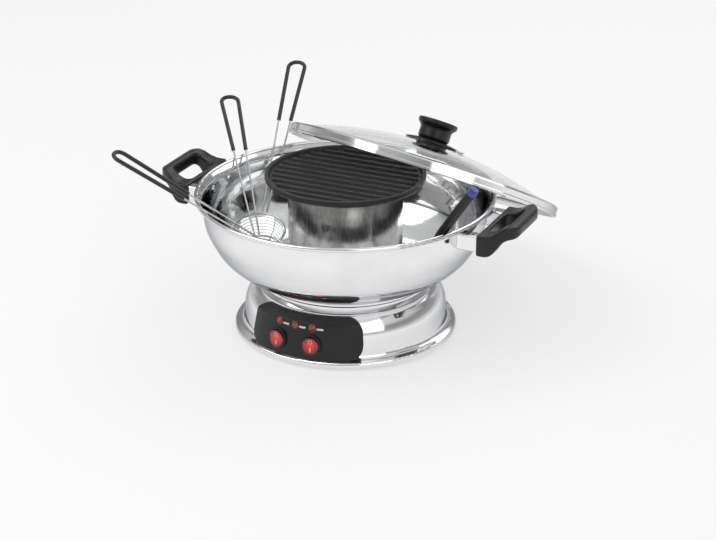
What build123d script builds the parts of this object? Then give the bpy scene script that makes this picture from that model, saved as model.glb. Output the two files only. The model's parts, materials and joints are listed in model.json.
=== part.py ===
from build123d import *
import os
from math import asin, atan, atan2, cos, degrees, hypot, radians, sin, sqrt, tan

# Electric fondue pot with a lift-off bowl, a grill plate on a chimney and a loose glass lid.
# Millimetres. The origin is on the table at the pot's axis, +Z up, the panel faces -Y, handles at +X, -X.

# General
overrun = 6.0
fit_gap = 0.3
screw_gap = 0.1
sheet_wall = 1.2
round_share = 0.45

# Base shell, from the rolled brim up to the shelf that carries the hot plate
foot_height = 4.0
foot_width = 8.4
foot_round = 1.5
plate_wall = 1.2
base_plate_inset = 5.5
brim_width = 10.2
brim_bottom = 4.4
brim_top = 8.2
dome_foot_r = 112.8
dome_foot_z = 10.4
dome_draft = 2.0
dome_waist_z = 40.0
dome_top_r = 98.0
shelf_z = 55.2
shelf_inner_r = 86.0
bracket_count = 3
bracket_width = 18.0
bracket_depth = 12.0
bracket_height = 9.0
bracket_wall = 1.6
bracket_angle = 60.0
base_screw_r = 2.0
base_screw_head_r = 3.8
base_screw_head = 1.9
vent_count = 10
vent_ring_r = 34.0
vent_length = 16.0
vent_width = 4.0

# Collar ring round the hot plate
collar_bottom_r = 97.0
collar_waist_r = 94.2
collar_top_r = 96.8
collar_inner_r = 92.6
collar_height = 11.3
collar_lip = 2.6

# Hot plate and its ring element
hot_plate_outer_r = 91.4
hot_plate_inner_r = 62.0
hot_plate_top = 61.0
element_ring_r = 76.0
element_tube_r = 4.0
element_gap_angle = 44.0
element_leg = 9.0
clamp_width = 12.0
clamp_wall = 1.4
clamp_offset = 9.0
clamp_screw_r = 1.6
clamp_screw_head_r = 3.0
clamp_screw_head = 1.8
clamp_count = 3
thermostat_r = 9.0
thermostat_height = 8.0
thermostat_tab_width = 3.0
thermostat_tab_height = 6.0
thermostat_tab_wall = 0.8

# Heat shield, its pillars and the column that carries the grill heater
shield_r = 79.0
shield_z = 30.0
shield_wall = 0.8
shield_lip = 5.0
pillar_r = 4.0
pillar_ring_r = 70.0
pillar_count = 3
column_r = 9.0
column_wall = 1.5
column_flange_r = 16.0
column_flange_wall = 2.0
dish_z = 138.0
dish_r = 55.0
dish_wall = 0.8
dish_lip = 8.0
grill_element_r = 40.0
grill_element_tube_r = 3.5
grill_element_lift = 14.0
fuse_r = 3.0
fuse_length = 22.0
fuse_place_r = 50.0
block_length = 34.0
block_width = 16.0
block_height = 13.0
block_place_y = 52.0
block_ways = 4
block_screw_r = 2.2
block_screw_depth = 5.0
wire_r = 1.4
wire_bend_share = 0.45

# Power inlet at the back
inlet_z = 27.0
inlet_flange_width = 36.0
inlet_flange_height = 26.0
inlet_proud = 3.2
inlet_body_width = 27.0
inlet_body_height = 20.0
inlet_depth = 28.0
inlet_back_wall = 7.0
inlet_mouth_width = 23.0
inlet_mouth_height = 16.0
inlet_corner_r = 2.5
pin_width = 2.0
pin_height = 4.0
pin_spacing = 7.0
pin_earth_rise = 3.0
pin_line_drop = 2.0
pin_recess = 5.0
pin_tail = 7.0

# Control panel
panel_half_angle = 35.0
panel_foot_proud = 5.8
panel_foot_z = 9.6
panel_brow_set_back = 0.2
panel_brow_z = 47.0
panel_top_set_back = 7.6
panel_top_z = 53.6
panel_wall = 2.6
panel_floor = 3.0
panel_round = 2.2
panel_corner_r = 16.0
panel_window_half_angle = 30.0
panel_window_low = 12.8
panel_window_high = 49.0
panel_boss_r = 3.4
panel_boss_angle = 32.4
panel_boss_z = 26.0
panel_screw_r = 1.3
panel_screw_head_r = 2.6
panel_screw_head = 1.6
panel_screw_bite = 4.0
control_angle = -3.6
switch_angle = 10.2
switch_z = 24.5
lamp_angle = 10.3
lamp_z = 43.5

# Round rocker switch
switch_bezel_r = 11.6
switch_bezel_height = 2.4
switch_body_r = 10.4
switch_bore_r = 9.8
switch_depth = 15.0
switch_well = 6.4
rocker_r = 9.3
rocker_edge = 4.4
rocker_valley = 2.8
rocker_keel = 3.4
rocker_keel_r = 8.2
rocker_pivot_height = 1.2
rocker_pin_r = 0.7
rocker_pin_gap = 0.05
rocker_pin_end = 10.9
rocker_tilt = 8.0
tab_width = 4.8
tab_wall = 0.8
tab_length = 8.0
tab_spacing = 5.0

# Signal lamp
lamp_r = 3.4
lamp_flange_r = 4.2
lamp_flange = 0.8
lamp_dome = 1.3
lamp_depth = 6.0
board_wall = 1.4
board_half_angle = 15.0
board_height = 10.0

# Bowl
bowl_floor_z = 67.3
bowl_floor_band_z = 86.0
bowl_floor_hole_r = 59.5
bowl_floor_r = 96.9
bowl_low_r = 118.0
bowl_low_z = 76.0
bowl_mid_r = 140.0
bowl_mid_z = 95.0
bowl_wall_r = 155.3
bowl_shoulder_z = 126.0
bowl_wall_top = 151.6
bowl_seat_r = 160.8
bowl_seat_z = 156.4
bead_r = 2.5
bead_ring_r = 162.3
bead_z = 157.0
disc_outer_r = 90.6
chimney_r = 63.0
chimney_top = 173.0
chimney_foot_r = 67.0

# Pot handles
bracket_arm_y = 37.0
arm_width = 13.0
arm_low = 133.0
arm_high = 151.0
arm_corner_r = 2.0
strap_wall = 1.5
strap_low = 136.5
strap_high = 147.5
tenon_width = 7.0
tenon_height = 9.0
tenon_length = 11.0
grip_stand_off = 16.7
grip_reach = 42.0
grip_leg_share = 0.36
grip_bar_share = 0.69
grip_leg_low = 130.0
grip_leg_high = 153.5
grip_bar_low = 150.0
grip_bar_high = 164.5
grip_half_width = 47.5
grip_bar_half_width = 35.0
grip_hole_start_share = 0.155
grip_hole_end_share = 0.702
grip_hole_half_width = 27.0
grip_round = 3.0
grip_screw_r = 1.8
grip_screw_head_r = 3.4
grip_screw_head = 2.0
rivet_y = 19.0
rivet_r = 2.4
rivet_head_r = 4.6
rivet_head = 1.3

# Grill plate
grill_r = 88.0
grill_under_r = 85.5
grill_rim_top = 180.0
grill_rim_width = 4.0
grill_deck_z = 176.6
grill_edge_z = 175.6
ridge_pitch = 13.0
ridge_width = 4.6
ridge_height = 2.4
ridge_round = 0.8
spigot_width = 3.5
spigot_depth = 6.0
spigot_gap = 0.6

# Lid, in its own frame with its axis along Z and the foot of its band at zero
lid_r = 160.0
lid_glass_r = 156.4
lid_glass_wall = 4.0
lid_edge_z = 4.335
lid_dome_r = 441.0
lid_band_cover = 3.2
lid_bead_height = 4.0
lid_band_inner_r = 151.0
lid_band_lip = 2.4
lid_seat_gap = 0.1
knob_flange_r = 31.0
knob_flange_neck_r = 21.0
knob_flange_edge = 1.6
knob_flange_height = 3.6
knob_waist_r = 18.4
knob_top_r = 23.0
knob_height = 23.4
knob_flare_share = 0.6
knob_cap_share = 0.8
knob_screw_r = 2.2
knob_screw_head_r = 5.0
knob_screw_head = 2.8
knob_screw_bite = 12.0
knob_washer_r = 10.0
knob_washer_wall = 1.5
vent_r = 2.4
vent_wall = 1.5
vent_collar_r = 6.0
vent_collar = 1.0
vent_reach = 3.0
vent_place_r = 46.0
vent_place_angle = -100.0
lid_tilt = 28.5
lid_lean_angle = 75.0
lid_contact = 16.0

# Wire baskets
basket_ring_r = 30.0
basket_wire_r = 1.2
basket_mesh_wall = 0.8
basket_seat_gap = 0.8
basket_place_r = 100.0
basket_handle_length = 226.0
basket_sleeve_length = 90.0
basket_sleeve_r = 2.3
basket_handle_wire_r = 1.1
basket_grip_half_width = 10.0
basket_root_half_width = 2.6
basket_rim_gap = 0.5
slope_rounds = 6
basket_angles = (282.0, 229.0, 191.0)
basket_headings = (189.0, 126.0, 105.0)
basket_lean = 18.0

# Fork
fork_shaft_r = 1.6
fork_tine_r = 1.1
fork_tine_length = 22.0
fork_tine_spread = 4.4
fork_shaft_length = 62.0
fork_grip_r = 5.0
fork_grip_length = 76.0
fork_cap_length = 9.0
fork_rim_angle = -21.0
fork_foot_x = 82.0
fork_foot_y = -49.0

# Heights and radii that follow from the sizes above
brim_r = dome_foot_r + brim_width
base_plate_r = brim_r - base_plate_inset
dome_waist_r = dome_foot_r - dome_draft
inlet_face_y = dome_foot_r + inlet_proud
inlet_back_y = inlet_face_y - inlet_depth
base_plate_top = foot_height + plate_wall
collar_top = shelf_z + collar_height
element_z = shelf_z - element_tube_r
clamp_z = element_z - element_tube_r - clamp_wall
bowl_floor_top = bowl_floor_z + sheet_wall
bowl_inner_r = bowl_wall_r - sheet_wall
rim_top = bead_z + bead_r
grip_inner_r = bowl_wall_r + grip_stand_off
grip_outer_r = grip_inner_r + grip_reach
grip_leg_r = grip_inner_r + grip_reach * grip_leg_share
grip_bar_inner_r = grip_inner_r + grip_reach * grip_bar_share
grip_hole_inner_r = grip_inner_r + grip_reach * grip_hole_start_share
grip_hole_outer_r = grip_inner_r + grip_reach * grip_hole_end_share
panel_foot_r = dome_foot_r + panel_foot_proud
panel_brow_r = dome_waist_r - panel_brow_set_back
panel_top_r = panel_brow_r - panel_top_set_back
panel_lean = degrees(atan((panel_foot_r - panel_brow_r) / (panel_brow_z - panel_foot_z)))
panel_hole_end = dome_waist_r + panel_screw_bite - panel_screw_head
lid_rise = lid_edge_z + lid_dome_r - sqrt(lid_dome_r**2 - lid_glass_r**2)
lid_apex = lid_rise + lid_glass_wall
rim_rings = ((bead_ring_r, bead_z, bead_r), (bowl_inner_r, bowl_wall_top + sheet_wall, 0))


# Outline helpers


def run_turn(before, corner, after):
    """Signed turn at a corner, in radians, positive to the left."""
    ax, az = corner[0] - before[0], corner[1] - before[1]
    bx, bz = after[0] - corner[0], after[1] - corner[1]
    return atan2(ax * bz - az * bx, ax * bx + az * bz)


def corner_radii(points, share):
    """The radius at each inner corner that uses a share of the shorter run beside it."""
    radii = []
    for before, corner, after in zip(points, points[1:], points[2:]):
        shorter = min(hypot(corner[0] - before[0], corner[1] - before[1]),
                      hypot(after[0] - corner[0], after[1] - corner[1]))
        radii.append(share * shorter / tan(abs(run_turn(before, corner, after)) / 2))
    return radii


def shifted(points, distance):
    """The same outline moved to its left by a distance, with mitred corners."""
    moved = []
    for index, point in enumerate(points):
        normals = []
        for start, end in ((index - 1, index), (index, index + 1)):
            if start >= 0 and end < len(points):
                run_x, run_z = points[end][0] - points[start][0], points[end][1] - points[start][1]
                normals.append((-run_z / hypot(run_x, run_z), run_x / hypot(run_x, run_z)))
        first, last = normals[0], normals[-1]
        scale = distance / (1 + first[0] * last[0] + first[1] * last[1])
        moved.append((point[0] + scale * (first[0] + last[0]), point[1] + scale * (first[1] + last[1])))
    return moved


def upright(points):
    """Radius and height pairs as points of the XZ plane."""
    return [(r, 0, z) for r, z in points]


def sheet_ring(points, wall):
    """A bent sheet of even thickness, turned about Z, with its wall on the outline's left."""
    radii = corner_radii(points, round_share)
    turns = [run_turn(*trio) for trio in zip(points, points[1:], points[2:])]
    inner = shifted(points, wall)
    inner_radii = [r - wall if turn > 0 else r + wall for r, turn in zip(radii, turns)]
    outer_line = FilletPolyline(*upright(points), radius=radii)
    inner_line = FilletPolyline(*upright(inner), radius=inner_radii)
    ends = [Line(outer_line @ 0, inner_line @ 0), Line(outer_line @ 1, inner_line @ 1)]
    return revolve(make_face(outer_line.edges() + inner_line.edges() + ends), Axis.Z)


def solid_under(points, grow):
    """Everything inside a turned outline, grown by a gap, down to the table and in to the axis."""
    grown = shifted(points, -grow)
    radii = [r - grow if run_turn(*trio) < 0 else r + grow
             for r, trio in zip(corner_radii(points, round_share), zip(points, points[1:], points[2:]))]
    line = FilletPolyline(*upright(grown), radius=radii)
    start, end = grown[0], grown[-1]
    sides = Polyline((end[0], 0, end[1]), (0, 0, end[1]), (0, 0, 0),
                     (start[0], 0, 0), (start[0], 0, start[1]))
    return revolve(make_face(line.edges() + sides.edges()), Axis.Z)


def turned(points):
    """A solid turned about Z from a closed outline of radius and height pairs."""
    return revolve(make_face(Polyline(*upright(points), close=True)), Axis.Z)


def turned_soft(points, share):
    """A turned solid whose outline, open at the axis, has its corners rounded."""
    line = FilletPolyline(*upright(points), radius=corner_radii(points, share))
    closing = Line(line @ 1, line @ 0)
    return revolve(make_face(line.edges() + [closing]), Axis.Z)


def rod(radius, low, high):
    return Pos(0, 0, (low + high) / 2) * Cylinder(radius, high - low)


def tube(outer, inner, low, high):
    return rod(outer, low, high) - rod(inner, low - overrun, high + overrun)


def block(x0, x1, y0, y1, z0, z1):
    return Pos((x0 + x1) / 2, (y0 + y1) / 2, (z0 + z1) / 2) * Box(x1 - x0, y1 - y0, z1 - z0)


def around(piece, count, start=0.0):
    """Copies of a piece spaced evenly about Z."""
    return [Rot(0, 0, start + 360 / count * index) * piece for index in range(count)]


def sector(points, half_angle, middle=-90.0):
    """An outline turned about Z through an angle either side of a direction, -90 being the front."""
    face = make_face(Polyline(*upright(points), close=True))
    return Rot(0, 0, middle - half_angle) * revolve(face, Axis.Z, 2 * half_angle)


def pipe(points, radius, share):
    """A round rod along straight runs joined by arcs, in any plane of space."""
    radii = []
    for before, corner, after in zip(points, points[1:], points[2:]):
        back, ahead = Vector(*corner) - Vector(*before), Vector(*after) - Vector(*corner)
        turn = radians(back.get_angle(ahead))
        radii.append(share * min(back.length, ahead.length) / tan(turn / 2))
    line = FilletPolyline(*points, radius=radii) if radii else Line(*points)
    wire = Wire(line.edges())
    return sweep(Plane(wire @ 0, z_dir=wire % 0) * Circle(radius), path=wire)


def screw(shank_r, length, head_r, head):
    """A pan screw with its head below zero and its shank up along Z."""
    return rod(shank_r, 0, length) + rod(head_r, -head, 0)


def sheathed_ring(ring_r, tube_r, z, leg, middle):
    """A ring element with a gap at one side and two legs that turn down from its ends."""
    half = element_gap_angle / 2
    profile = make_face(Plane.XZ * (Pos(ring_r, z) * Circle(tube_r)))
    piece = Rot(0, 0, middle + half) * revolve(profile, Axis.Z, 360 - element_gap_angle)
    for side in (-half, half):
        end = Pos(ring_r * cos(radians(middle + side)), ring_r * sin(radians(middle + side)), 0)
        piece += end * (rod(tube_r, z - leg, z) + Pos(0, 0, z) * Sphere(tube_r))
    return piece


# Outlines shared by pieces that meet

shell_line = [(brim_r, brim_bottom), (brim_r, brim_top), (dome_foot_r, dome_foot_z),
              (dome_waist_r, dome_waist_z), (dome_top_r, shelf_z), (shelf_inner_r, shelf_z)]
bowl_line = [(bowl_floor_hole_r, bowl_floor_z), (bowl_floor_r, bowl_floor_z), (bowl_low_r, bowl_low_z),
             (bowl_mid_r, bowl_mid_z), (bowl_wall_r, bowl_shoulder_z), (bowl_wall_r, bowl_wall_top),
             (bowl_seat_r, bowl_seat_z)]


def panel_face_r(z):
    """Radius of the panel's sloping face at a height."""
    slope = (panel_brow_r - panel_foot_r) / (panel_brow_z - panel_foot_z)
    return panel_foot_r + slope * (z - panel_foot_z)


def face_frame(angle, z):
    """A frame on the panel's face: X along it, Y up it, Z out of it."""
    a, lean = radians(angle + control_angle), radians(panel_lean)
    out = (sin(a) * cos(lean), -cos(a) * cos(lean), sin(lean))
    r = panel_face_r(z)
    return Plane((r * sin(a), -r * cos(a), z), x_dir=(cos(a), sin(a), 0), z_dir=out).location


def bracket_angles():
    return [bracket_angle + 360 / bracket_count * index for index in range(bracket_count)]


def bracket_screw_r():
    return dome_foot_r - sheet_wall - fit_gap - bracket_depth / 2


# Base


def base_shell():
    shell = sheet_ring(shell_line, sheet_wall)
    window = [(shelf_inner_r, panel_window_low), (brim_r, panel_window_low),
              (brim_r, panel_window_high), (shelf_inner_r, panel_window_high)]
    shell -= sector(window, panel_window_half_angle)
    half_w, half_h = inlet_body_width / 2 + fit_gap, inlet_body_height / 2 + fit_gap
    shell -= block(-half_w, half_w, inlet_back_y, brim_r, inlet_z - half_h, inlet_z + half_h)
    for side in (-1, 1):
        hole = rod(panel_screw_r + screw_gap, 0, brim_r)
        shell -= panel_boss_frame(side) * hole
    return shell


def base_collar():
    lip = collar_top - collar_lip
    waist = shelf_z + collar_height / 3
    return turned([(collar_inner_r, shelf_z), (collar_bottom_r, shelf_z), (collar_waist_r, waist),
                   (collar_waist_r, lip - collar_lip), (collar_top_r, lip),
                   (collar_top_r, collar_top - collar_lip / 3),
                   ((collar_top_r + collar_inner_r) / 2, collar_top),
                   (collar_inner_r, collar_top - collar_lip / 3)])


def base_plate():
    plate = rod(base_plate_r, foot_height, base_plate_top)
    slot = SlotOverall(vent_length, vent_width)
    vent = extrude(Pos(vent_ring_r, 0, foot_height - overrun) * slot, 2 * overrun + plate_wall)
    for cut in around(vent, vent_count):
        plate -= cut
    for angle in bracket_angles():
        plate -= Rot(0, 0, angle) * Pos(bracket_screw_r(), 0, 0) * rod(base_screw_r + screw_gap, 0, brim_r)
    for cut in around(Pos(pillar_ring_r, 0, 0) * rod(base_screw_r + screw_gap, 0, brim_r), pillar_count):
        plate -= cut
    return plate


def foot_ring():
    outer = bracket_screw_r() - base_screw_head_r - fit_gap
    ring = tube(outer, outer - foot_width, 0, foot_height)
    return fillet(ring.edges().group_by(Axis.Z)[0], foot_round)


def base_bracket():
    """An angle bracket inside the shell's foot, tapped for a base screw."""
    wall_r = dome_foot_r - sheet_wall - fit_gap
    half = degrees(bracket_width / 2 / wall_r)
    low, high = base_plate_top, base_plate_top + bracket_height
    outline = [(wall_r - bracket_depth, low), (wall_r - bracket_wall, low),
               (wall_r, dome_foot_z + bracket_wall),
               (wall_r, high), (wall_r - bracket_wall, high), (wall_r - 2 * bracket_wall, low + bracket_wall),
               (wall_r - bracket_depth, low + bracket_wall)]
    piece = sector(outline, half, 0)
    return piece - Pos(bracket_screw_r(), 0, 0) * rod(base_screw_r, 0, brim_r)


def base_brackets():
    return [Rot(0, 0, angle) * base_bracket() for angle in bracket_angles()]


def base_screw():
    return screw(base_screw_r - screw_gap, plate_wall + 3 * bracket_wall, base_screw_head_r, base_screw_head)


def base_screws():
    """Alike screws through the base plate, into the shell's brackets and the shield's pillars."""
    spot = Pos(bracket_screw_r(), 0, foot_height)
    to_brackets = [Rot(0, 0, angle) * spot * base_screw() for angle in bracket_angles()]
    return to_brackets + around(Pos(pillar_ring_r, 0, foot_height) * base_screw(), pillar_count)


def shield_pillars():
    pillar = tube(pillar_r, base_screw_r, base_plate_top, shield_z)
    return around(Pos(pillar_ring_r, 0, 0) * pillar, pillar_count)


def heat_shield():
    shield = turned([(column_r, shield_z), (shield_r, shield_z), (shield_r, shield_z + shield_lip),
                     (shield_r - shield_wall, shield_z + shield_lip),
                     (shield_r - shield_wall, shield_z + shield_wall),
                     (column_r, shield_z + shield_wall)])
    return shield


def hot_plate():
    plate = tube(hot_plate_outer_r, hot_plate_inner_r, shelf_z, hot_plate_top)
    for cut in clamp_spots(rod(clamp_screw_r + screw_gap, 0, shelf_z + hot_plate_top / 2 - shelf_z / 2)):
        plate -= cut
    return plate


def ring_element():
    return sheathed_ring(element_ring_r, element_tube_r, element_z, element_leg, 90)


def clamp_spots(piece):
    return around(Pos(element_ring_r - clamp_offset, 0, 0) * piece, clamp_count, -90)


def element_clamps():
    """Short straps under the ring element, each bent up to the hot plate where its screw is."""
    inner, outer = element_ring_r - clamp_offset - clamp_width / 2, element_ring_r + element_tube_r
    strap = block(inner, outer, -clamp_width / 2, clamp_width / 2, clamp_z, clamp_z + clamp_wall)
    foot = block(inner, inner + clamp_wall, -clamp_width / 2, clamp_width / 2, clamp_z, shelf_z)
    hole = Pos(element_ring_r - clamp_offset, 0, 0) * rod(clamp_screw_r + screw_gap, 0, shelf_z)
    return around(strap + foot - hole, clamp_count, -90)


def clamp_screws():
    length = (shelf_z + hot_plate_top) / 2 - clamp_z - screw_gap
    one = screw(clamp_screw_r, length, clamp_screw_head_r, clamp_screw_head)
    return clamp_spots(Pos(0, 0, clamp_z) * one)


def thermostat():
    body = rod(thermostat_r, shelf_z - thermostat_height, shelf_z)
    low = shelf_z - thermostat_height
    half_w, half_t = thermostat_tab_width / 2, thermostat_tab_wall / 2
    for side in (-1, 1):
        x = side * thermostat_r / 2
        body += block(x - half_w, x + half_w, -half_t, half_t, low - thermostat_tab_height, low)
    return Pos(0, element_ring_r, 0) * body


def heater_column():
    foot = shield_z + shield_wall
    column = rod(column_flange_r, foot, foot + column_flange_wall) + rod(column_r, foot, dish_z)
    return column - rod(column_r - column_wall, 0, dish_z + overrun)


def reflector_dish():
    dish = turned([(0, dish_z), (dish_r, dish_z), (dish_r, dish_z + dish_lip),
                   (dish_r - dish_wall, dish_z + dish_lip),
                   (dish_r - dish_wall, dish_z + dish_wall), (0, dish_z + dish_wall)])
    return dish


def grill_element():
    z = dish_z + dish_wall + grill_element_lift
    return sheathed_ring(grill_element_r, grill_element_tube_r, z, grill_element_lift, 90)


def thermal_fuse():
    seat = shield_z + shield_wall
    body = Pos(0, 0, seat + fuse_r) * Rot(0, 90, 0) * Cylinder(fuse_r, fuse_length)
    body += block(-fuse_length / 4, fuse_length / 4, -fuse_r, fuse_r, seat, seat + fuse_r)
    return Pos(0, -fuse_place_r, 0) * body


def terminal_block():
    low, half = base_plate_top, block_length / 2
    body = block(-half, half, block_place_y - block_width / 2, block_place_y + block_width / 2,
                 low, low + block_height)
    for spot in block_spots():
        top = low + block_height
        body -= spot * rod(block_screw_r + screw_gap, top - block_screw_depth, top + overrun)
    return body


def block_spots():
    pitch = block_length / block_ways
    return [Pos((index - (block_ways - 1) / 2) * pitch, block_place_y, 0) for index in range(block_ways)]


def terminal_screws():
    top = base_plate_top + block_height
    return [spot * rod(block_screw_r, top - block_screw_depth, top - block_screw_r) for spot in block_spots()]


# Power inlet


def inlet_socket():
    half_w, half_h = inlet_flange_width / 2, inlet_flange_height / 2
    body_w, body_h = inlet_body_width / 2, inlet_body_height / 2
    flange = block(-half_w, half_w, dome_foot_r - half_w, inlet_face_y, inlet_z - half_h, inlet_z + half_h)
    flange = fillet(flange.edges().filter_by(Axis.Y), inlet_corner_r)
    flange -= solid_under(shell_line, fit_gap)
    body = block(-body_w, body_w, inlet_back_y, inlet_face_y, inlet_z - body_h, inlet_z + body_h)
    piece = flange + body
    mouth_w, mouth_h = inlet_mouth_width / 2, inlet_mouth_height / 2
    mouth = block(-mouth_w, mouth_w, inlet_back_y + inlet_back_wall, inlet_face_y + overrun,
                  inlet_z - mouth_h, inlet_z + mouth_h)
    piece -= fillet(mouth.edges().filter_by(Axis.Y), inlet_corner_r)
    for pin in inlet_pin_blocks(screw_gap):
        piece -= pin
    return piece


def inlet_pin_blocks(grow):
    """Three flat blades: two live ones side by side and the earth one between and above."""
    blades = []
    for x, rise in ((-pin_spacing, -pin_line_drop), (pin_spacing, -pin_line_drop), (0, pin_earth_rise)):
        half_w, half_h, z = pin_width / 2 + grow, pin_height / 2 + grow, inlet_z + rise
        blades.append(block(x - half_w, x + half_w, inlet_back_y - pin_tail, inlet_face_y - pin_recess,
                            z - half_h, z + half_h))
    return blades


def inlet_pins():
    return inlet_pin_blocks(0)


def wire_loom():
    """Leads from the inlet to the terminal block and from there to the switches and heaters."""
    top = base_plate_top + block_height
    back, tail = block_place_y + block_width / 2, inlet_back_y - pin_tail
    low = base_plate_top + block_height / 2
    leads = []
    for x in (-pin_spacing, pin_spacing):
        pin_z = inlet_z - pin_line_drop
        leads.append(pipe([(x, tail, pin_z), (x, tail - tail / 9, pin_z),
                           (x, back + tail / 9, low), (x, back, low)],
                          wire_r, wire_bend_share))
    front = block_place_y - block_width / 2
    for side in (-1, 1):
        frame = face_frame(side * switch_angle, switch_z)
        tip = frame * Pos(side * tab_spacing, 0, -switch_depth - tab_length)
        inner = frame * Pos(side * tab_spacing, 0, -switch_depth - 2 * tab_length)
        x = side * block_length / 4
        leads.append(pipe([(x, front, low), (x, front - block_width, low),
                           tuple(inner.position), tuple(tip.position)], wire_r, wire_bend_share))
    return leads


# Control panel


def panel_boss_frame(side):
    """A frame at the axis, at the boss's height, whose Z points out through the boss."""
    a = radians(side * panel_boss_angle)
    return Plane((0, 0, panel_boss_z), x_dir=(cos(a), sin(a), 0), z_dir=(sin(a), -cos(a), 0)).location


def panel_corners(round_r):
    """What is cut off the panel's four corners, seen from the front, to round its outline."""
    pieces = []
    for side in (-1, 1):
        turn = radians(side * (panel_half_angle - degrees(panel_corner_r / panel_brow_r)) - 90)
        for up, z in ((1, panel_top_z - panel_corner_r), (-1, panel_foot_z + panel_corner_r)):
            frame = Plane((0, 0, z), x_dir=(-side * sin(turn), side * cos(turn), 0),
                          z_dir=(cos(turn), sin(turn), 0)).location
            far = up * side * 2 * panel_corner_r
            tool = block(0, 2 * panel_corner_r, min(0, far), max(0, far), panel_corner_r, 2 * brim_r)
            pieces.append(frame * (tool - rod(round_r, 0, 2 * brim_r)))
    return pieces


def control_panel():
    outer = [(shelf_inner_r, brim_top), (panel_face_r(brim_top), brim_top), (panel_brow_r, panel_brow_z),
             (panel_top_r, panel_top_z), (shelf_inner_r, panel_top_z)]
    body = sector(outer, panel_half_angle)
    rounded = body.edges().filter_by(lambda e: e.center().Z > panel_foot_z and
                                     hypot(e.center().X, e.center().Y) > panel_top_r - panel_wall)
    body = fillet(rounded, panel_round)
    body -= panel_corners(panel_corner_r)
    floor, roof = panel_foot_z + panel_floor, panel_top_z - panel_wall
    inner = [(0, floor), (panel_face_r(floor) - panel_wall, floor),
             (panel_brow_r - panel_wall, panel_brow_z), (panel_top_r - panel_wall, roof), (0, roof)]
    body -= sector(inner, panel_half_angle - degrees(panel_wall / panel_brow_r)) - panel_corners(
        panel_corner_r - panel_wall)
    for side in (-1, 1):
        boss_top = panel_face_r(panel_boss_z) - panel_wall / 2
        body += panel_boss_frame(side) * rod(panel_boss_r, dome_waist_r - panel_boss_r, boss_top)
    body -= solid_under(shell_line, fit_gap)
    for side in (-1, 1):
        body -= panel_boss_frame(side) * rod(panel_screw_r, 0, panel_hole_end)
        body -= face_frame(side * switch_angle, switch_z) * rod(switch_body_r + screw_gap, -overrun, overrun)
    for step in (-1, 0, 1):
        body -= face_frame(step * lamp_angle, lamp_z) * rod(lamp_r + screw_gap, -overrun, overrun)
    return body


def panel_screws():
    seat = dome_waist_r - sheet_wall - panel_screw_head / 2
    one = Pos(0, 0, seat) * screw(panel_screw_r - screw_gap / 2, panel_screw_bite,
                                  panel_screw_head_r, panel_screw_head)
    return [panel_boss_frame(side) * one for side in (-1, 1)]


def switch_body():
    body = rod(switch_body_r, -switch_depth, 0) + rod(switch_bezel_r, 0, switch_bezel_height)
    body = fillet(body.edges().group_by(Axis.Z)[-1], switch_bezel_height / 3)
    body -= rod(switch_bore_r, -switch_well, switch_bezel_height + overrun)
    pin = Rot(0, 90, 0) * Cylinder(rocker_pin_r + rocker_pin_gap, 2 * (rocker_pin_end + rocker_pin_gap))
    return body - Pos(0, 0, rocker_pivot_height) * pin


def switch_tabs():
    half_w, half_t = tab_wall / 2, tab_width / 2
    return [block(x - half_w, x + half_w, -half_t, half_t, -switch_depth - tab_length, -switch_depth)
            for x in (-tab_spacing, 0, tab_spacing)]


def rocker():
    """A round rocker with a shallow valley across it and a pin at each side, tilted to its on stop."""
    side = make_face(Polyline((0, -rocker_r, rocker_edge), (0, 0, rocker_valley), (0, rocker_r, rocker_edge),
                              (0, rocker_keel_r, -rocker_keel), (0, -rocker_keel_r, -rocker_keel),
                              close=True))
    body = extrude(side, rocker_r, dir=(1, 0, 0), both=True) & rod(rocker_r, -switch_depth, switch_depth)
    body += Pos(0, 0, rocker_pivot_height) * Rot(0, 90, 0) * Cylinder(rocker_pin_r, 2 * rocker_pin_end)
    pivot = Pos(0, 0, rocker_pivot_height)
    return pivot * Rot(rocker_tilt, 0, 0) * pivot.inverse() * body


def at_switch(side, pieces):
    frame = face_frame(side * switch_angle, switch_z)
    return [frame * piece for piece in pieces]


def lamp():
    return turned([(0, -lamp_depth), (lamp_r, -lamp_depth), (lamp_r, 0), (lamp_flange_r, 0),
                   (lamp_flange_r, lamp_flange), (lamp_r, lamp_flange), (lamp_r / 2, lamp_flange + lamp_dome),
                   (0, lamp_flange + lamp_dome)])


def lamp_board():
    low, high = lamp_z - board_height / 2, lamp_z + board_height / 2
    lean = cos(radians(panel_lean))
    near, far = lamp_depth / lean, (lamp_depth + board_wall) / lean
    outline = [(panel_face_r(low) - near, low), (panel_face_r(high) - near, high),
               (panel_face_r(high) - far, high), (panel_face_r(low) - far, low)]
    return sector(outline, board_half_angle, control_angle - 90)


# Bowl


def bowl():
    shell = sheet_ring(bowl_line, sheet_wall)
    shell += Pos(0, 0, bead_z) * Torus(bead_ring_r, bead_r)
    for spot in rivet_frames():
        shell -= spot * rod(rivet_r, 0, bowl_wall_r + overrun)
    return shell


def bowl_bands():
    """The one pressed bowl, cut flat into floor, flank, wall and rim, each near a plain ring."""
    bands, rest = [], bowl()
    for height in (bowl_floor_band_z, bowl_shoulder_z, bowl_wall_top):
        level = Plane.XY.offset(height)
        bands.append(split(rest, bisect_by=level, keep=Keep.BOTTOM))
        rest = split(rest, bisect_by=level, keep=Keep.TOP)
    return bands + [rest]


def bowl_base_disc():
    return tube(disc_outer_r, bowl_floor_hole_r + sheet_wall, hot_plate_top, bowl_floor_z)


def chimney():
    bore = chimney_r - sheet_wall
    wall = tube(chimney_r, bore, bowl_floor_top, chimney_top)
    return wall + tube(chimney_foot_r, bore, bowl_floor_top, bowl_floor_top + sheet_wall)


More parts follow.
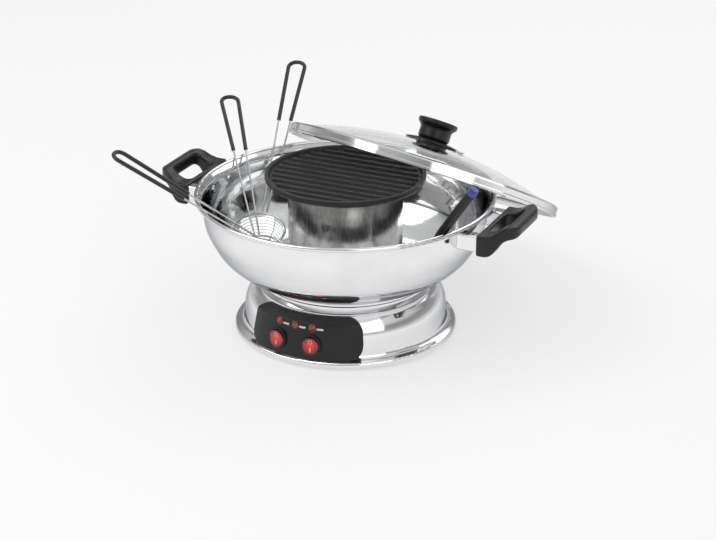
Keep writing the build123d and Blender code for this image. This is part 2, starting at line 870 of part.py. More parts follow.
def rivet_frames():
    """Frames at the axis whose Z points out through each rivet, two rivets a handle."""
    z = (strap_low + strap_high) / 2
    turn = degrees(rivet_y / bowl_wall_r)
    frames = []
    for middle in (0, 180):
        for side in (-1, 1):
            a = radians(middle + side * turn)
            frames.append(Plane((0, 0, z), x_dir=(-sin(a), cos(a), 0), z_dir=(cos(a), sin(a), 0)).location)
    return frames


def handle_rivets():
    inner = bowl_inner_r * cos(rivet_head_r / bowl_inner_r)
    outer = bowl_wall_r + strap_wall
    one = rod(rivet_r - screw_gap, inner, outer) + rod(rivet_head_r, inner - rivet_head, inner)
    return [spot * one for spot in rivet_frames()]


def handle_bracket():
    """A curved strap on the bowl with two square arms and a tenon on each, for the +X handle."""
    inside = solid_under(bowl_line, 0)
    half = degrees((bracket_arm_y + arm_width / 2) / bowl_wall_r)
    strap = sector([(bowl_wall_r, strap_low), (bowl_wall_r + strap_wall, strap_low),
                    (bowl_wall_r + strap_wall, strap_high), (bowl_wall_r, strap_high)], half, 0)
    for spot in rivet_frames()[:2]:
        strap -= spot * rod(rivet_r, 0, grip_inner_r)
    middle = (arm_low + arm_high) / 2
    for side in (-1, 1):
        y = side * bracket_arm_y
        arm = block(bowl_wall_r - bracket_arm_y, grip_inner_r, y - arm_width / 2, y + arm_width / 2,
                    arm_low, arm_high)
        arm = fillet(arm.edges().filter_by(Axis.X), arm_corner_r)
        tenon = block(grip_inner_r, grip_inner_r + tenon_length, y - tenon_width / 2, y + tenon_width / 2,
                      middle - tenon_height / 2, middle + tenon_height / 2)
        tenon -= Pos(grip_screw_x(), y, 0) * rod(grip_screw_r, 0, middle)
        strap += (arm - inside) + tenon
    return strap


def grip_screw_x():
    return grip_inner_r + tenon_length / 2


def handle_grip():
    """A moulded loop: a side outline and a plan outline intersected, with a finger hole through it."""
    side = [(grip_inner_r, grip_leg_low), (grip_leg_r, grip_leg_low), (grip_bar_inner_r, grip_bar_low),
            (grip_outer_r, grip_bar_low), (grip_outer_r, grip_bar_high), (grip_bar_inner_r, grip_bar_high),
            (grip_leg_r, grip_leg_high), (grip_inner_r, grip_leg_high)]
    line = FilletPolyline(*upright(side), radius=corner_radii(side, round_share))
    profile = make_face(line.edges() + [Line(line @ 1, line @ 0)])
    body = extrude(profile, grip_half_width, dir=(0, 1, 0), both=True)
    plan = [(grip_inner_r, -grip_half_width), (grip_leg_r, -grip_half_width),
            (grip_outer_r, -grip_bar_half_width), (grip_outer_r, grip_bar_half_width),
            (grip_leg_r, grip_half_width), (grip_inner_r, grip_half_width)]
    flat = [(x, y, 0) for x, y in plan]
    plan_line = FilletPolyline(*flat, radius=corner_radii(plan, round_share))
    outline = make_face(plan_line.edges() + [Line(plan_line @ 1, plan_line @ 0)])
    body = body & extrude(outline, 2 * rim_top)
    hole_x = (grip_hole_inner_r + grip_hole_outer_r) / 2
    hole = RectangleRounded(grip_hole_outer_r - grip_hole_inner_r, 2 * grip_hole_half_width, grip_round * 2)
    body -= extrude(Pos(hole_x, 0, 0) * hole, 2 * rim_top)
    middle = (arm_low + arm_high) / 2
    for place in (-bracket_arm_y, bracket_arm_y):
        half_w, half_h = tenon_width / 2 + screw_gap, tenon_height / 2 + screw_gap
        body -= block(grip_inner_r - overrun, grip_inner_r + tenon_length + screw_gap,
                      place - half_w, place + half_w,
                      middle - half_h, middle + half_h)
        body -= Pos(grip_screw_x(), place, 0) * rod(grip_screw_r + screw_gap, 0, middle)
        hole = rod(grip_screw_head_r + screw_gap, 0, grip_leg_low + 2 * grip_screw_head)
        body -= Pos(grip_screw_x(), place, 0) * hole
    return body


def handle_screws():
    middle = (arm_low + arm_high) / 2
    seat = grip_leg_low + 2 * grip_screw_head
    one = screw(grip_screw_r - screw_gap, middle - seat - screw_gap, grip_screw_head_r, grip_screw_head)
    pair = [Pos(grip_screw_x(), y, seat) * one for y in (-bracket_arm_y, bracket_arm_y)]
    return pair + [Rot(0, 0, 180) * piece for piece in pair]


# Grill plate


def grill_plate():
    under = chimney_r - sheet_wall - spigot_gap
    inside = grill_r - grill_rim_width
    plate = turned([(0, chimney_top), (under - spigot_width, chimney_top),
                    (under - spigot_width, chimney_top - spigot_depth),
                    (under, chimney_top - spigot_depth), (under, chimney_top), (grill_under_r, chimney_top),
                    (grill_r, grill_edge_z), (grill_r, grill_rim_top), (inside, grill_rim_top),
                    (inside - (grill_rim_top - grill_deck_z) / 2, grill_deck_z), (0, grill_deck_z)])
    reach = inside - grill_rim_width
    count = int(2 * reach / ridge_pitch)
    for index in range(count):
        y = (index - (count - 1) / 2) * ridge_pitch
        half = sqrt(reach**2 - y**2)
        ridge = SlotOverall(2 * half, ridge_width) if half > ridge_width else Circle(ridge_width / 2)
        plate += extrude(Pos(0, y, grill_deck_z) * ridge, ridge_height, taper=ridge_taper())
    return plate


def ridge_taper():
    return degrees(atan(ridge_round / ridge_height))


# Lid


def dome_sheet(inner_r, outer_r, edge_r):
    """A spherical cap between two radii, out to an edge radius, in the lid's own frame."""
    centre = lid_rise - lid_dome_r
    lower, upper = Sphere(inner_r), Sphere(outer_r)
    return Pos(0, 0, centre) * (upper - lower) & rod(edge_r, -lid_rise, 2 * lid_rise)


def dome_height(r):
    """Height of the glass's outer face at a radius."""
    return lid_rise - lid_dome_r + sqrt((lid_dome_r + lid_glass_wall)**2 - r**2)


def vent_spot():
    return Rot(0, 0, vent_place_angle) * Pos(vent_place_r, 0, 0)


def lid_glass():
    glass = dome_sheet(lid_dome_r, lid_dome_r + lid_glass_wall, lid_glass_r)
    glass -= rod(knob_screw_r + fit_gap, 0, 2 * lid_rise)
    return glass - vent_spot() * rod(vent_r + vent_wall + screw_gap, 0, 2 * lid_rise)


def lid_rim():
    top = dome_height(lid_band_inner_r) + lid_band_lip
    low = dome_height(lid_band_inner_r) - lid_glass_wall - lid_band_lip
    high = dome_height(lid_glass_r) + lid_band_cover
    edge = (lid_r - lid_glass_r) / 2
    band_r, cover_r = lid_r - edge / 2, lid_r - 3 * edge / 2
    ring = turned([(lid_band_inner_r, low), (lid_glass_r, 0), (band_r, 0), (lid_r, edge / 2),
                   (lid_r, lid_bead_height - edge / 2), (band_r, lid_bead_height), (band_r, high - edge),
                   (cover_r, high), (lid_band_inner_r, top)])
    return ring - dome_sheet(lid_dome_r - lid_seat_gap, lid_dome_r + lid_glass_wall + lid_seat_gap,
                             lid_glass_r + lid_seat_gap)


def knob_flange():
    return turned([(knob_screw_r + screw_gap, lid_apex), (knob_flange_neck_r, lid_apex),
                   (knob_flange_r, lid_apex), (knob_flange_r, lid_apex + knob_flange_edge),
                   (knob_flange_neck_r, lid_apex + knob_flange_height),
                   (knob_screw_r + screw_gap, lid_apex + knob_flange_height)])


def lid_knob():
    low = lid_apex + knob_flange_height
    flare, cap, high = (low + knob_height * share for share in (knob_flare_share, knob_cap_share, 1))
    knob = turned_soft([(0, low), (knob_waist_r, low), (knob_waist_r, flare), (knob_top_r, cap),
                        (knob_top_r, high), (0, high)], round_share * 2 / 3)
    return knob - rod(knob_screw_r + screw_gap, 0, low + knob_screw_bite)


def knob_washer():
    top = knob_washer_top()
    return tube(knob_washer_r, knob_screw_r + screw_gap, top - knob_washer_wall, top)


def knob_washer_top():
    """The washer's flat top, under the glass where the dome has come down to the washer's edge."""
    return lid_rise - lid_dome_r + sqrt(lid_dome_r**2 - knob_washer_r**2) - screw_gap


def knob_screw():
    seat = knob_washer_top() - knob_washer_wall
    length = lid_apex + knob_flange_height + knob_screw_bite - seat - fit_gap
    return Pos(0, 0, seat) * screw(knob_screw_r, length, knob_screw_head_r, knob_screw_head)


def vent_eyelet():
    seat = dome_height(vent_place_r - vent_collar_r) + screw_gap
    outer = vent_r + vent_wall
    low = seat - lid_glass_wall - vent_reach
    ring = turned([(vent_r, low), (outer, low), (outer, seat), (vent_collar_r, seat),
                   (vent_collar_r, seat + vent_collar), (vent_r, seat + vent_collar)])
    return vent_spot() * ring


def lid_axis():
    lean, tilt = radians(lid_lean_angle), radians(lid_tilt)
    return (cos(lean) * sin(tilt), sin(lean) * sin(tilt), cos(tilt))


def lid_frame():
    """The lid's place: its glass leans over the bowl's back rim, just clear of the rolled bead."""
    lean, tilt = radians(lid_lean_angle), radians(lid_tilt)
    reach = lid_dome_r - bead_r - fit_gap
    slope = tilt + asin(lid_contact / lid_dome_r)
    centre_s, centre_z = bead_ring_r - reach * sin(slope), bead_z - reach * cos(slope)
    drop = lid_dome_r - lid_rise
    s, z = centre_s + drop * sin(tilt), centre_z + drop * cos(tilt)
    downhill = (cos(lean) * cos(tilt), sin(lean) * cos(tilt), -sin(tilt))
    return Plane((s * cos(lean), s * sin(lean), z), x_dir=downhill, z_dir=lid_axis()).location


# Wire baskets


def basket_frame(index):
    """A frame at the basket's ring, with X along its handle seen from above."""
    a, heading = radians(basket_angles[index]), radians(basket_headings[index])
    return Plane((basket_place_r * cos(a), basket_place_r * sin(a), basket_ring_z()),
                 x_dir=(cos(heading), sin(heading), 0), z_dir=(0, 0, 1)).location


def basket_mesh_r():
    return basket_ring_r - basket_wire_r - screw_gap


def basket_ring_z():
    """Height of the ring's middle, with the wire cloth and the ring just clear of the bowl's curved floor."""
    inner, reach = shifted(bowl_line, sheet_wall), basket_mesh_r() + basket_seat_gap
    edge = basket_ring_r + basket_wire_r + basket_seat_gap
    dip = edge * sin(radians(basket_lean))
    heights = []
    for (r0, z0), (r1, z1) in zip(inner, inner[1:4]):
        length = hypot(r1 - r0, z1 - z0)
        normal_r, normal_z = (z0 - z1) / length, (r1 - r0) / length
        heights.append(z0 + (reach - (basket_place_r - r0) * normal_r) / normal_z)
    for (r0, z0), (r1, z1) in zip(inner[2:5], inner[3:5]):
        if r1 > r0:
            heights.append(z0 + (basket_place_r + edge - r0) * (z1 - z0) / (r1 - r0) + dip)
    return max(heights)


def basket_root():
    """Where the handle starts on the leaning ring, along its heading and up."""
    reach, lean = basket_ring_r + basket_wire_r + basket_handle_wire_r + screw_gap, radians(basket_lean)
    return reach * cos(lean), reach * sin(lean)


def wire_slope(index, side, ring_r, ring_z, round_r):
    """The angle at which one handle wire just clears a ring of the bowl's rim."""
    turn = radians(basket_headings[index] - basket_angles[index])
    root_x, root_z = basket_root()
    x = basket_place_r * cos(turn) + root_x
    y = side * basket_root_half_width - basket_place_r * sin(turn)
    spread = atan(side * (basket_grip_half_width - basket_root_half_width) / basket_handle_length)
    along = x * cos(spread) + y * sin(spread)
    run = sqrt(ring_r**2 - x**2 - y**2 + along**2) - along
    across = asin((y * cos(spread) - x * sin(spread)) / ring_r)
    clear = round_r + basket_rim_gap + basket_handle_wire_r
    rise = ring_z - basket_ring_z() - root_z
    slope = atan(rise / run)
    for _ in range(slope_rounds):
        slope = atan((rise + clear * sqrt(1 + (tan(slope) / cos(across))**2)) / run)
    return slope


def basket_slope(index):
    """The handle's rise over the rolled rim and over the inner edge of the lid's seat."""
    return max(wire_slope(index, side, *ring) for side in (-1, 1) for ring in rim_rings)


def basket_mesh():
    """The bowl of wire cloth as one thin half sphere hung inside the ring."""
    outer = basket_mesh_r()
    half = (Sphere(outer) - Sphere(outer - basket_mesh_wall)) & rod(2 * outer, -2 * outer, 0)
    return Rot(0, -basket_lean, 0) * half


def basket_ring():
    return Rot(0, -basket_lean, 0) * Torus(basket_ring_r, basket_wire_r)


def grip_half_width_at(distance):
    """Half the width between the handle's two wires at a distance from the ring."""
    spread = basket_grip_half_width - basket_root_half_width
    return basket_root_half_width + spread * distance / basket_handle_length


def handle_frame(index):
    """A frame at the root of a basket's handle, with X along it."""
    root_x, root_z = basket_root()
    return Pos(root_x, 0, root_z) * Rot(0, -degrees(basket_slope(index)), 0)


def basket_handle(index):
    """The two bare wires from the ring to the sleeve."""
    tilt = handle_frame(index)
    bare = basket_handle_length - basket_sleeve_length
    wires = []
    for side in (-1, 1):
        start, end = (0, side * grip_half_width_at(0), 0), (bare, side * grip_half_width_at(bare), 0)
        wires.append(tilt * pipe([start, end], basket_handle_wire_r, round_share))
    return wires


def basket_sleeve(index):
    """The coated loop that the hand holds."""
    tilt = handle_frame(index)
    bare, end = basket_handle_length - basket_sleeve_length, basket_handle_length
    points = [(bare, -grip_half_width_at(bare), 0), (end, -grip_half_width_at(end), 0),
              (end, grip_half_width_at(end), 0), (bare, grip_half_width_at(bare), 0)]
    return tilt * pipe(points, basket_sleeve_r, round_share)


# Fork


def fork_slope(foot, flat):
    """The fork's rise, with its grip on the rolled rim or on the inner edge of the lid's seat."""
    along, across = foot.X * flat.X + foot.Y * flat.Y, foot.X * flat.Y - foot.Y * flat.X
    slopes = []
    for ring_r, ring_z, round_r in rim_rings:
        run, rise = sqrt(ring_r**2 - across**2) - along, ring_z - foot.Z
        lift = (round_r + fit_gap + fork_grip_r) / cos(asin(across / ring_r))
        slopes.append(atan2(rise, run) + asin(lift / hypot(run, rise)))
    return max(slopes)


def fork_frame():
    """The fork leans on the bowl's rim with its tines on the floor; Z runs up its length."""
    a = radians(fork_rim_angle)
    foot = Vector(fork_foot_x, fork_foot_y, bowl_floor_top + 2 * fork_tine_r + fit_gap)
    flat = Vector(bead_ring_r * cos(a) - foot.X, bead_ring_r * sin(a) - foot.Y, 0).normalized()
    slope = fork_slope(foot, flat)
    axis = flat * cos(slope) + Vector(0, 0, sin(slope))
    return Plane(foot, x_dir=Vector(-flat.Y, flat.X, 0), z_dir=axis).location


def fork_prongs():
    """A bare shaft that splits into two tines."""
    neck = fork_tine_length
    half = fork_tine_spread / 2
    shaft = rod(fork_shaft_r, neck, neck + fork_shaft_length)
    yoke = block(-half - fork_tine_r, half + fork_tine_r, -fork_tine_r, fork_tine_r,
                 neck - 2 * fork_tine_r, neck)
    for side in (-1, 1):
        yoke += Pos(side * half, 0, 0) * rod(fork_tine_r, 0, neck - fork_tine_r)
    return shaft + yoke


def fork_grip():
    low = fork_tine_length + fork_shaft_length
    return turned_soft([(0, low), (fork_grip_r * 2 / 3, low), (fork_grip_r, low + fork_grip_r * 3),
                        (fork_grip_r, low + fork_grip_length), (0, low + fork_grip_length)], round_share / 2)


def fork_cap():
    low = fork_tine_length + fork_shaft_length + fork_grip_length
    return turned_soft([(0, low), (fork_grip_r, low), (fork_grip_r, low + fork_cap_length),
                        (0, low + fork_cap_length)], round_share / 2)


# Assembly


def all_nodes():
    nodes = {
        "base_shell": [base_shell()], "base_collar": [base_collar()], "base_plate": [base_plate()],
        "foot_ring": [foot_ring()], "base_brackets": base_brackets(), "base_screws": base_screws(),
        "shield_pillars": shield_pillars(), "heat_shield": [heat_shield()],
        "hot_plate": [hot_plate()], "ring_element": [ring_element()], "element_clamps": element_clamps(),
        "clamp_screws": clamp_screws(), "thermostat": [thermostat()], "heater_column": [heater_column()],
        "reflector_dish": [reflector_dish()], "grill_element": [grill_element()],
        "thermal_fuse": [thermal_fuse()],
        "terminal_block": [terminal_block()], "terminal_screws": terminal_screws(),
        "inlet_socket": [inlet_socket()], "inlet_pins": inlet_pins(), "wire_loom": wire_loom(),
        "control_panel": [control_panel()], "panel_screws": panel_screws(), "lamp_board": [lamp_board()],
    }
    for name, side in (("left", -1), ("right", 1)):
        nodes[f"{name}_switch_body"] = at_switch(side, [switch_body()])
        nodes[f"{name}_rocker"] = at_switch(side, [rocker()])
    nodes["switch_tabs"] = at_switch(-1, switch_tabs()) + at_switch(1, switch_tabs())
    nodes["signal_lamps"] = [face_frame(step * lamp_angle, lamp_z) * lamp() for step in (-1, 0, 1)]
    nodes.update({
        "bowl": bowl_bands(), "bowl_base_disc": [bowl_base_disc()], "chimney": [chimney()],
        "handle_rivets": handle_rivets(), "handle_screws": handle_screws(),
    })
    for name, turn in (("right", 0), ("left", 180)):
        nodes[f"{name}_handle_bracket"] = [Rot(0, 0, turn) * handle_bracket()]
        nodes[f"{name}_handle_grip"] = [Rot(0, 0, turn) * handle_grip()]
    nodes["grill_plate"] = [grill_plate()]
    place = lid_frame()
    lid_pieces = {"lid_glass": lid_glass(), "lid_rim": lid_rim(), "knob_flange": knob_flange(),
                  "lid_knob": lid_knob(),
                  "knob_washer": knob_washer(), "knob_screw": knob_screw(), "vent_eyelet": vent_eyelet()}
    nodes.update({name: [place * piece] for name, piece in lid_pieces.items()})
    for index in range(len(basket_angles)):
        spot = basket_frame(index)
        nodes[f"basket_{index + 1}_mesh"] = [spot * basket_mesh()]
        nodes[f"basket_{index + 1}_frame"] = [spot * wire for wire in [basket_ring()] + basket_handle(index)]
        nodes[f"basket_{index + 1}_sleeve"] = [spot * basket_sleeve(index)]
    spot = fork_frame()
    nodes["fork_prongs"] = [spot * fork_prongs()]
    nodes["fork_grip"] = [spot * fork_grip()]
    nodes["fork_cap"] = [spot * fork_cap()]
    return nodes


def main():
    os.makedirs("parts", exist_ok=True)
    for name, pieces in all_nodes().items():
        solids = [solid for piece in pieces for solid in piece.solids()]
        shape = solids[0] if len(solids) == 1 else Compound(children=solids)
        shape.label = name
        export_step(shape, f"parts/{name}.step")


if __name__ == "__main__":
    main()
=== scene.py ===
import json
import math

import bmesh
import bpy
from mathutils import Matrix, Vector

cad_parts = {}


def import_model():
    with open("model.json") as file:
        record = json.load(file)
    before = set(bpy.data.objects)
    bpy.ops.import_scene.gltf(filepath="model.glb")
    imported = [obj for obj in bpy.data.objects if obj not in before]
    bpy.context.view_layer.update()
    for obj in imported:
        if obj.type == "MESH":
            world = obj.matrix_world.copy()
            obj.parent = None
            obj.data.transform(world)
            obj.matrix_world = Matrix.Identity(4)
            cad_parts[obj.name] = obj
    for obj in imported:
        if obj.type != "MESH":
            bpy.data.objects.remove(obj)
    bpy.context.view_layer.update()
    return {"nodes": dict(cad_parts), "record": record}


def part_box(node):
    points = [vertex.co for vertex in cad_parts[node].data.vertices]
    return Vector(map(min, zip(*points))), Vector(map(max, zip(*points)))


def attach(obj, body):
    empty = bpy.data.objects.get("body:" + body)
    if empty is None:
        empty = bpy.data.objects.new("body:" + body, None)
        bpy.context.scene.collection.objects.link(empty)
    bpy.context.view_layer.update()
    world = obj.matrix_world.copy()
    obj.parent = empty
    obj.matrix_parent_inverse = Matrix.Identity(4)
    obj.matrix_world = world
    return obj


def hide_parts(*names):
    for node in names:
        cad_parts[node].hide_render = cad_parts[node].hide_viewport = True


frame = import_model()
nodes = frame["nodes"]
scene = bpy.context.scene

# Lengths are in metres and named angles in degrees, unless a line turns them into radians.


# Material helpers

noise_rough = 0.55


def new_material(name):
    """A material, its node tree, its Principled shader and a place in object metres: m, t, s and p below."""
    material = bpy.data.materials.new(name)
    material.use_nodes = True
    tree = material.node_tree
    shader = tree.nodes["Principled BSDF"]
    place = tree.nodes.new("ShaderNodeTexCoord").outputs["Object"]
    return material, tree, shader, place


def noise(tree, place, scale, detail=3.0):
    node = tree.nodes.new("ShaderNodeTexNoise")
    node.inputs["Scale"].default_value = scale
    node.inputs["Detail"].default_value = detail
    node.inputs["Roughness"].default_value = noise_rough
    tree.links.new(place, node.inputs["Vector"])
    return node.outputs["Fac"]


def span(tree, value, low, high, start=0.3, stop=0.7):
    """Maps a value between start and stop onto low to high."""
    node = tree.nodes.new("ShaderNodeMapRange")
    node.inputs["From Min"].default_value = start
    node.inputs["From Max"].default_value = stop
    node.inputs["To Min"].default_value = low
    node.inputs["To Max"].default_value = high
    tree.links.new(value, node.inputs["Value"])
    return node.outputs["Result"]


def tones(tree, value, dark, light, start=0.3, stop=0.7):
    """Two close tones, from dark to light."""
    node = tree.nodes.new("ShaderNodeValToRGB")
    ramp = node.color_ramp
    ramp.elements[0].position, ramp.elements[1].position = start, stop
    ramp.elements[0].color, ramp.elements[1].color = (*dark, 1), (*light, 1)
    tree.links.new(value, node.inputs["Fac"])
    return node.outputs["Color"]


def bump(tree, shader, height, strength, distance):
    node = tree.nodes.new("ShaderNodeBump")
    node.inputs["Strength"].default_value = strength
    node.inputs["Distance"].default_value = distance
    tree.links.new(height, node.inputs["Height"])
    tree.links.new(node.outputs["Normal"], shader.inputs["Normal"])


def math_node(tree, kind, a, b=None):
    node = tree.nodes.new("ShaderNodeMath")
    node.operation = kind
    for socket, value in zip(node.inputs, (a, b)):
        if isinstance(value, (int, float)):
            socket.default_value = value
        elif value is not None:
            tree.links.new(value, socket)
    return node.outputs[0]


def spun(tree, place, along=1.0, up=1.0, around=0.004):
    """A place scaled apart along the radius, the height and the way round the pot's axis."""
    split = tree.nodes.new("ShaderNodeSeparateXYZ")
    tree.links.new(place, split.inputs[0])
    x, y, z = split.outputs
    far = math_node(tree, "SQRT", math_node(tree, "ADD", math_node(tree, "MULTIPLY", x, x),
                                            math_node(tree, "MULTIPLY", y, y)))
    turn = math_node(tree, "ARCTAN2", y, x)
    join = tree.nodes.new("ShaderNodeCombineXYZ")
    for socket, value, share in zip(join.inputs, (far, z, turn), (along, up, around)):
        tree.links.new(math_node(tree, "MULTIPLY", value, share), socket)
    return join.outputs[0]


def nearest(tree, place, spots):
    """How far a place is from the nearest of the spots."""
    ways = []
    for spot in spots:
        node = tree.nodes.new("ShaderNodeVectorMath")
        node.operation = "DISTANCE"
        node.inputs[1].default_value = spot
        tree.links.new(place, node.inputs[0])
        ways.append(node.outputs["Value"])
    closest = ways[0]
    for way in ways[1:]:
        closest = math_node(tree, "MINIMUM", closest, way)
    return closest


def dress(tree, shader, colour, rough, **plain):
    """Links the colour and the roughness, and sets what is the same all over on the shader's own sockets."""
    tree.links.new(colour, shader.inputs["Base Color"])
    tree.links.new(rough, shader.inputs["Roughness"])
    for name, value in plain.items():
        shader.inputs[name.replace("_", " ")].default_value = value


# Materials


def polished_steel():
    """Spun and polished sheet: fine rings, a faint cloud and an edge tint that darkens the outline."""
    m, t, s, p = new_material("polished_steel")
    rings = noise(t, spun(t, p), scale=2600.0, detail=2.0)
    cloud = noise(t, p, scale=24.0, detail=4.0)
    both = math_node(t, "ADD", math_node(t, "MULTIPLY", rings, 0.6), math_node(t, "MULTIPLY", cloud, 0.4))
    dress(t, s, tones(t, cloud, dark=(0.81, 0.815, 0.825), light=(0.89, 0.89, 0.895)),
          span(t, both, low=0.035, high=0.13), Metallic=1.0, Specular_Tint=(0.48, 0.49, 0.51, 1.0))
    bump(t, s, rings, strength=0.05, distance=0.00002)
    return m


def brushed_chimney():
    """Rolled tube: fine streaks run up it, and the heat has dulled its shine."""
    m, t, s, p = new_material("chimney_steel")
    streak = noise(t, spun(t, p, along=0.0, up=0.05, around=0.06), scale=900.0, detail=4.0)
    cloud = noise(t, spun(t, p, along=0.0, up=0.3, around=0.06), scale=260.0)
    dress(t, s, tones(t, cloud, dark=(0.66, 0.655, 0.64), light=(0.84, 0.835, 0.825)),
          span(t, streak, low=0.15, high=0.27), Metallic=1.0)
    bump(t, s, streak, strength=0.07, distance=0.00003)
    return m


def plain_steel():
    m, t, s, p = new_material("plain_steel")
    rings = noise(t, spun(t, p), scale=1800.0)
    dress(t, s, tones(t, noise(t, p, scale=60.0), dark=(0.5, 0.5, 0.51), light=(0.66, 0.66, 0.67)),
          span(t, rings, low=0.24, high=0.42), Metallic=1.0)
    bump(t, s, rings, strength=0.2, distance=0.00004)
    return m


def aluminium():
    m, t, s, p = new_material("aluminium")
    rings = noise(t, spun(t, p), scale=1500.0, detail=4.0)
    dress(t, s, tones(t, noise(t, p, scale=45.0), dark=(0.66, 0.66, 0.67), light=(0.78, 0.78, 0.785)),
          span(t, rings, low=0.22, high=0.4), Metallic=1.0)
    bump(t, s, rings, strength=0.3, distance=0.00006)
    return m


def heater_sheath():
    """Dark scale that heat leaves on a heater's tube."""
    m, t, s, p = new_material("heater_sheath")
    scale = noise(t, p, scale=260.0, detail=5.0)
    dress(t, s, tones(t, scale, dark=(0.05, 0.045, 0.045), light=(0.2, 0.17, 0.15)),
          span(t, scale, low=0.45, high=0.75), Metallic=0.7)
    bump(t, s, noise(t, p, scale=1400.0), strength=0.25, distance=0.00005)
    return m


def foot_rubber():
    m, t, s, p = new_material("foot_rubber")
    grain = noise(t, p, scale=1500.0, detail=4.0)
    dress(t, s, tones(t, noise(t, p, scale=80.0), dark=(0.018, 0.018, 0.019), light=(0.04, 0.04, 0.042)),
          span(t, grain, low=0.62, high=0.85))
    bump(t, s, grain, strength=0.35, distance=0.00008)
    return m


def black_plastic():
    """Moulded plastic with a fine grain."""
    m, t, s, p = new_material("black_plastic")
    grain = noise(t, p, scale=1900.0)
    cloud = noise(t, p, scale=35.0)
    dress(t, s, tones(t, cloud, dark=(0.006, 0.006, 0.0065), light=(0.014, 0.014, 0.0145)),
          span(t, cloud, low=0.26, high=0.38), Specular_IOR_Level=0.4)
    bump(t, s, grain, strength=0.16, distance=0.00006)
    return m


def lit_red(name, dark, light, glow, spots, reach):
    """Translucent red plastic over a lamp: the light pools in the middle and fades to the edge."""
    m, t, s, p = new_material(name)
    pool = span(t, nearest(t, p, spots), low=1.0, high=0.0, start=0.25 * reach, stop=reach)
    ribs = span(t, noise(t, p, scale=260.0), low=0.7 * glow, high=glow, start=0.35, stop=0.65)
    dress(t, s, tones(t, pool, dark, light, start=0.0, stop=1.0),
          span(t, noise(t, p, scale=900.0), low=0.12, high=0.24),
          Emission_Color=(1.0, 0.03, 0.02, 1.0), Coat_Weight=0.7, Coat_Roughness=0.05)
    t.links.new(math_node(t, "MULTIPLY", ribs, pool), s.inputs["Emission Strength"])
    return m


def insulator():
    m, t, s, p = new_material("insulator")
    speck = noise(t, p, scale=500.0, detail=4.0)
    dress(t, s, tones(t, speck, dark=(0.6, 0.57, 0.5), light=(0.8, 0.78, 0.72)),
          span(t, speck, low=0.5, high=0.75))
    bump(t, s, speck, strength=0.2, distance=0.00006)
    return m


def contact_brass():
    m, t, s, p = new_material("contact_brass")
    cloud = noise(t, p, scale=220.0, detail=4.0)
    dress(t, s, tones(t, cloud, dark=(0.55, 0.38, 0.15), light=(0.8, 0.62, 0.3)),
          span(t, cloud, low=0.2, high=0.4), Metallic=1.0)
    return m


def wire_sleeve():
    """Woven heat-proof sleeve of the inner leads."""
    m, t, s, p = new_material("wire_sleeve")
    weave = noise(t, p, scale=1100.0)
    dress(t, s, tones(t, weave, dark=(0.3, 0.05, 0.035), light=(0.55, 0.12, 0.08)),
          span(t, weave, low=0.5, high=0.7))
    bump(t, s, weave, strength=0.4, distance=0.00008)
    return m


def circuit_board():
    m, t, s, p = new_material("circuit_board")
    tracks = t.nodes.new("ShaderNodeTexBrick")
    tracks.inputs["Scale"].default_value = 260.0
    tracks.inputs["Color1"].default_value = (0.02, 0.16, 0.06, 1)
    tracks.inputs["Color2"].default_value = (0.03, 0.2, 0.08, 1)
    tracks.inputs["Mortar"].default_value = (0.06, 0.3, 0.12, 1)
    t.links.new(p, tracks.inputs["Vector"])
    dress(t, s, tracks.outputs["Color"], span(t, noise(t, p, scale=600.0), low=0.2, high=0.35))
    return m


def grill_coating():
    """Non-stick coating, speckled and a little uneven in its shine."""
    m, t, s, p = new_material("grill_coating")
    speck = noise(t, p, scale=2400.0)
    cloud = noise(t, p, scale=55.0, detail=4.0)
    dress(t, s, tones(t, speck, dark=(0.012, 0.012, 0.012), light=(0.034, 0.033, 0.032),
                      start=0.35, stop=0.75),
          span(t, cloud, low=0.36, high=0.54))
    bump(t, s, speck, strength=0.4, distance=0.00012)
    return m


def clear_glass():
    m, t, s, p = new_material("clear_glass")
    smear = noise(t, p, scale=18.0, detail=5.0)
    dress(t, s, tones(t, smear, dark=(0.86, 0.885, 0.88), light=(0.935, 0.95, 0.945)),
          span(t, smear, low=0.0, high=0.025, start=0.45, stop=0.75), Transmission_Weight=1.0, IOR=1.46)
    return m


def basket_wire():
    m, t, s, p = new_material("basket_wire")
    dress(t, s, tones(t, noise(t, p, scale=140.0), dark=(0.5, 0.5, 0.51), light=(0.68, 0.68, 0.69)),
          span(t, noise(t, p, scale=900.0), low=0.1, high=0.24), Metallic=1.0)
    return m


def handle_vinyl():
    """Dipped vinyl on the basket handles, with slight runs."""
    m, t, s, p = new_material("handle_vinyl")
    runs = noise(t, p, scale=320.0)
    dress(t, s, tones(t, runs, dark=(0.012, 0.012, 0.013), light=(0.028, 0.028, 0.03)),
          span(t, runs, low=0.24, high=0.42))
    bump(t, s, noise(t, p, scale=700.0), strength=0.25, distance=0.0001)
    return m


def fork_mark():
    m, t, s, p = new_material("fork_mark")
    cloud = noise(t, p, scale=260.0, detail=2.0)
    dress(t, s, tones(t, cloud, dark=(0.012, 0.02, 0.2), light=(0.03, 0.045, 0.36)),
          span(t, noise(t, p, scale=900.0), low=0.16, high=0.28), Coat_Weight=0.4, Coat_Roughness=0.08)
    return m


def white_print():
    m, t, s, p = new_material("white_print")
    grain = noise(t, p, scale=1600.0)
    dress(t, s, tones(t, grain, dark=(0.68, 0.68, 0.67), light=(0.86, 0.86, 0.85)),
          span(t, grain, low=0.4, high=0.6))
    return m


def mark_print():
    """Pale print on the lit rockers."""
    m, t, s, p = new_material("mark_print")
    grain = noise(t, p, scale=1300.0)
    dress(t, s, tones(t, grain, dark=(0.75, 0.32, 0.28), light=(0.9, 0.5, 0.45)),
          span(t, grain, low=0.3, high=0.5), Emission_Color=(1.0, 0.35, 0.3, 1.0), Emission_Strength=0.15)
    return m


